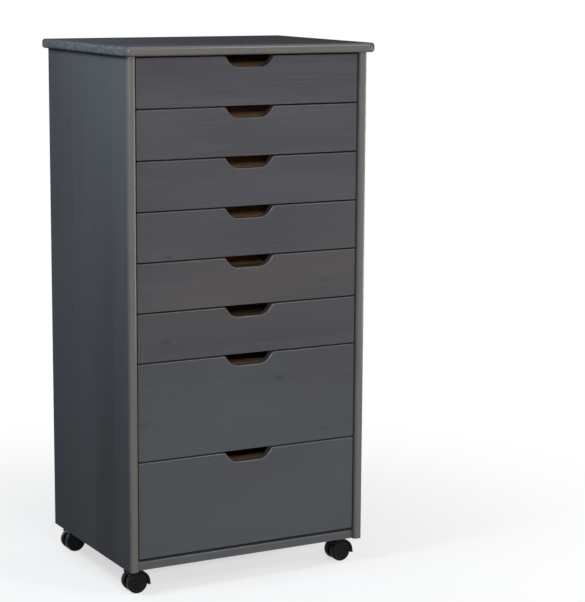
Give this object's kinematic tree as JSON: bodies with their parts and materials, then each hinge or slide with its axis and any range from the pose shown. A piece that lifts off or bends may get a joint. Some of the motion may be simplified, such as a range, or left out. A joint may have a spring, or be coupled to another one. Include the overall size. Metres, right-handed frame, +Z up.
{
  "type": "rolling drawer cart",
  "caption": "Tall wooden drawer cart on twin-wheel casters, with shallow drawers over deep ones, each opened by a finger scoop, for keeping craft supplies and parts.",
  "frame": {"origin": "on the floor under the middle of the top panel", "axes": "+Z up, the drawers open towards -Y, +X to the right as seen from the front"},
  "size_m": [0.527, 0.3898, 1.0289],
  "materials": {
    "grey_stained_pine": "dark grey stain under a satin lacquer, with the grain showing and paler rubbed edges",
    "bare_pine": "planed, clear matt lacquer",
    "drawer_sheet": "thin plywood, clear matt",
    "back_sheet": "thin plywood, dark grey stain",
    "caster_plastic": "moulded black plastic, fine satin grain",
    "zinc_plated_steel": "bright zinc plating"
  },
  "bodies": {
    "cabinet": {"top_panel": "grey_stained_pine", "left_side_panel": "grey_stained_pine", "right_side_panel": "grey_stained_pine", "bottom_panel": "grey_stained_pine", "back_panel": "back_sheet", "left_runners": "bare_pine", "right_runners": "bare_pine", "king_pins": "zinc_plated_steel"},
    "drawer_1": {"drawer_1_front": "grey_stained_pine", "drawer_1_sides": "bare_pine", "drawer_1_back": "bare_pine", "drawer_1_bottom": "drawer_sheet"},
    "drawer_2": {"drawer_2_front": "grey_stained_pine", "drawer_2_sides": "bare_pine", "drawer_2_back": "bare_pine", "drawer_2_bottom": "drawer_sheet"},
    "drawer_3": {"drawer_3_front": "grey_stained_pine", "drawer_3_sides": "bare_pine", "drawer_3_back": "bare_pine", "drawer_3_bottom": "drawer_sheet"},
    "drawer_4": {"drawer_4_front": "grey_stained_pine", "drawer_4_sides": "bare_pine", "drawer_4_back": "bare_pine", "drawer_4_bottom": "drawer_sheet"},
    "drawer_5": {"drawer_5_front": "grey_stained_pine", "drawer_5_sides": "bare_pine", "drawer_5_back": "bare_pine", "drawer_5_bottom": "drawer_sheet"},
    "drawer_6": {"drawer_6_front": "grey_stained_pine", "drawer_6_sides": "bare_pine", "drawer_6_back": "bare_pine", "drawer_6_bottom": "drawer_sheet"},
    "drawer_7": {"drawer_7_front": "grey_stained_pine", "drawer_7_sides": "bare_pine", "drawer_7_back": "bare_pine", "drawer_7_bottom": "drawer_sheet"},
    "drawer_8": {"drawer_8_front": "grey_stained_pine", "drawer_8_sides": "bare_pine", "drawer_8_back": "bare_pine", "drawer_8_bottom": "drawer_sheet"},
    "front_left_caster": {"front_left_caster_hood": "caster_plastic", "front_left_caster_axle": "zinc_plated_steel"},
    "front_left_caster_fore_wheel": {"front_left_caster_fore_wheel": "caster_plastic"},
    "front_left_caster_aft_wheel": {"front_left_caster_aft_wheel": "caster_plastic"},
    "front_right_caster": {"front_right_caster_hood": "caster_plastic", "front_right_caster_axle": "zinc_plated_steel"},
    "front_right_caster_fore_wheel": {"front_right_caster_fore_wheel": "caster_plastic"},
    "front_right_caster_aft_wheel": {"front_right_caster_aft_wheel": "caster_plastic"},
    "back_left_caster": {"back_left_caster_hood": "caster_plastic", "back_left_caster_axle": "zinc_plated_steel"},
    "back_left_caster_fore_wheel": {"back_left_caster_fore_wheel": "caster_plastic"},
    "back_left_caster_aft_wheel": {"back_left_caster_aft_wheel": "caster_plastic"},
    "back_right_caster": {"back_right_caster_hood": "caster_plastic", "back_right_caster_axle": "zinc_plated_steel"},
    "back_right_caster_fore_wheel": {"back_right_caster_fore_wheel": "caster_plastic"},
    "back_right_caster_aft_wheel": {"back_right_caster_aft_wheel": "caster_plastic"}
  },
  "joints": [
    {"name": "drawer_1_slide", "type": "slide", "parent": "cabinet", "child": "drawer_1", "axis": [0, -1, 0], "range_m": [0, 0.24]},
    {"name": "drawer_2_slide", "type": "slide", "parent": "cabinet", "child": "drawer_2", "axis": [0, -1, 0], "range_m": [0, 0.24]},
    {"name": "drawer_3_slide", "type": "slide", "parent": "cabinet", "child": "drawer_3", "axis": [0, -1, 0], "range_m": [0, 0.24]},
    {"name": "drawer_4_slide", "type": "slide", "parent": "cabinet", "child": "drawer_4", "axis": [0, -1, 0], "range_m": [0, 0.24]},
    {"name": "drawer_5_slide", "type": "slide", "parent": "cabinet", "child": "drawer_5", "axis": [0, -1, 0], "range_m": [0, 0.24]},
    {"name": "drawer_6_slide", "type": "slide", "parent": "cabinet", "child": "drawer_6", "axis": [0, -1, 0], "range_m": [0, 0.24]},
    {"name": "drawer_7_slide", "type": "slide", "parent": "cabinet", "child": "drawer_7", "axis": [0, -1, 0], "range_m": [0, 0.24]},
    {"name": "drawer_8_slide", "type": "slide", "parent": "cabinet", "child": "drawer_8", "axis": [0, -1, 0], "range_m": [0, 0.24]},
    {"name": "front_left_caster_swivel", "type": "hinge", "parent": "cabinet", "child": "front_left_caster", "pos_m": [-0.22203, -0.14144, 0.0487], "axis": [0, 0, 1], "continuous": true},
    {"name": "front_left_caster_fore_roll", "type": "hinge", "parent": "front_left_caster", "child": "front_left_caster_fore_wheel", "pos_m": [-0.22603, -0.15324, 0.02], "axis": [0, 1, 0], "continuous": true},
    {"name": "front_left_caster_aft_roll", "type": "hinge", "parent": "front_left_caster", "child": "front_left_caster_aft_wheel", "pos_m": [-0.22603, -0.12965, 0.02], "axis": [0, 1, 0], "continuous": true},
    {"name": "front_right_caster_swivel", "type": "hinge", "parent": "cabinet", "child": "front_right_caster", "pos_m": [0.22203, -0.14144, 0.0487], "axis": [0, 0, 1], "continuous": true},
    {"name": "front_right_caster_fore_roll", "type": "hinge", "parent": "front_right_caster", "child": "front_right_caster_fore_wheel", "pos_m": [0.21802, -0.15324, 0.02], "axis": [0, 1, 0], "continuous": true},
    {"name": "front_right_caster_aft_roll", "type": "hinge", "parent": "front_right_caster", "child": "front_right_caster_aft_wheel", "pos_m": [0.21802, -0.12965, 0.02], "axis": [0, 1, 0], "continuous": true},
    {"name": "back_left_caster_swivel", "type": "hinge", "parent": "cabinet", "child": "back_left_caster", "pos_m": [-0.22203, 0.16195, 0.0487], "axis": [0, 0, 1], "continuous": true},
    {"name": "back_left_caster_fore_roll", "type": "hinge", "parent": "back_left_caster", "child": "back_left_caster_fore_wheel", "pos_m": [-0.22603, 0.15015, 0.02], "axis": [0, 1, 0], "continuous": true},
    {"name": "back_left_caster_aft_roll", "type": "hinge", "parent": "back_left_caster", "child": "back_left_caster_aft_wheel", "pos_m": [-0.22603, 0.17375, 0.02], "axis": [0, 1, 0], "continuous": true},
    {"name": "back_right_caster_swivel", "type": "hinge", "parent": "cabinet", "child": "back_right_caster", "pos_m": [0.22203, 0.16195, 0.0487], "axis": [0, 0, 1], "continuous": true},
    {"name": "back_right_caster_fore_roll", "type": "hinge", "parent": "back_right_caster", "child": "back_right_caster_fore_wheel", "pos_m": [0.21802, 0.15015, 0.02], "axis": [0, 1, 0], "continuous": true},
    {"name": "back_right_caster_aft_roll", "type": "hinge", "parent": "back_right_caster", "child": "back_right_caster_aft_wheel", "pos_m": [0.21802, 0.17375, 0.02], "axis": [0, 1, 0], "continuous": true}
  ]
}
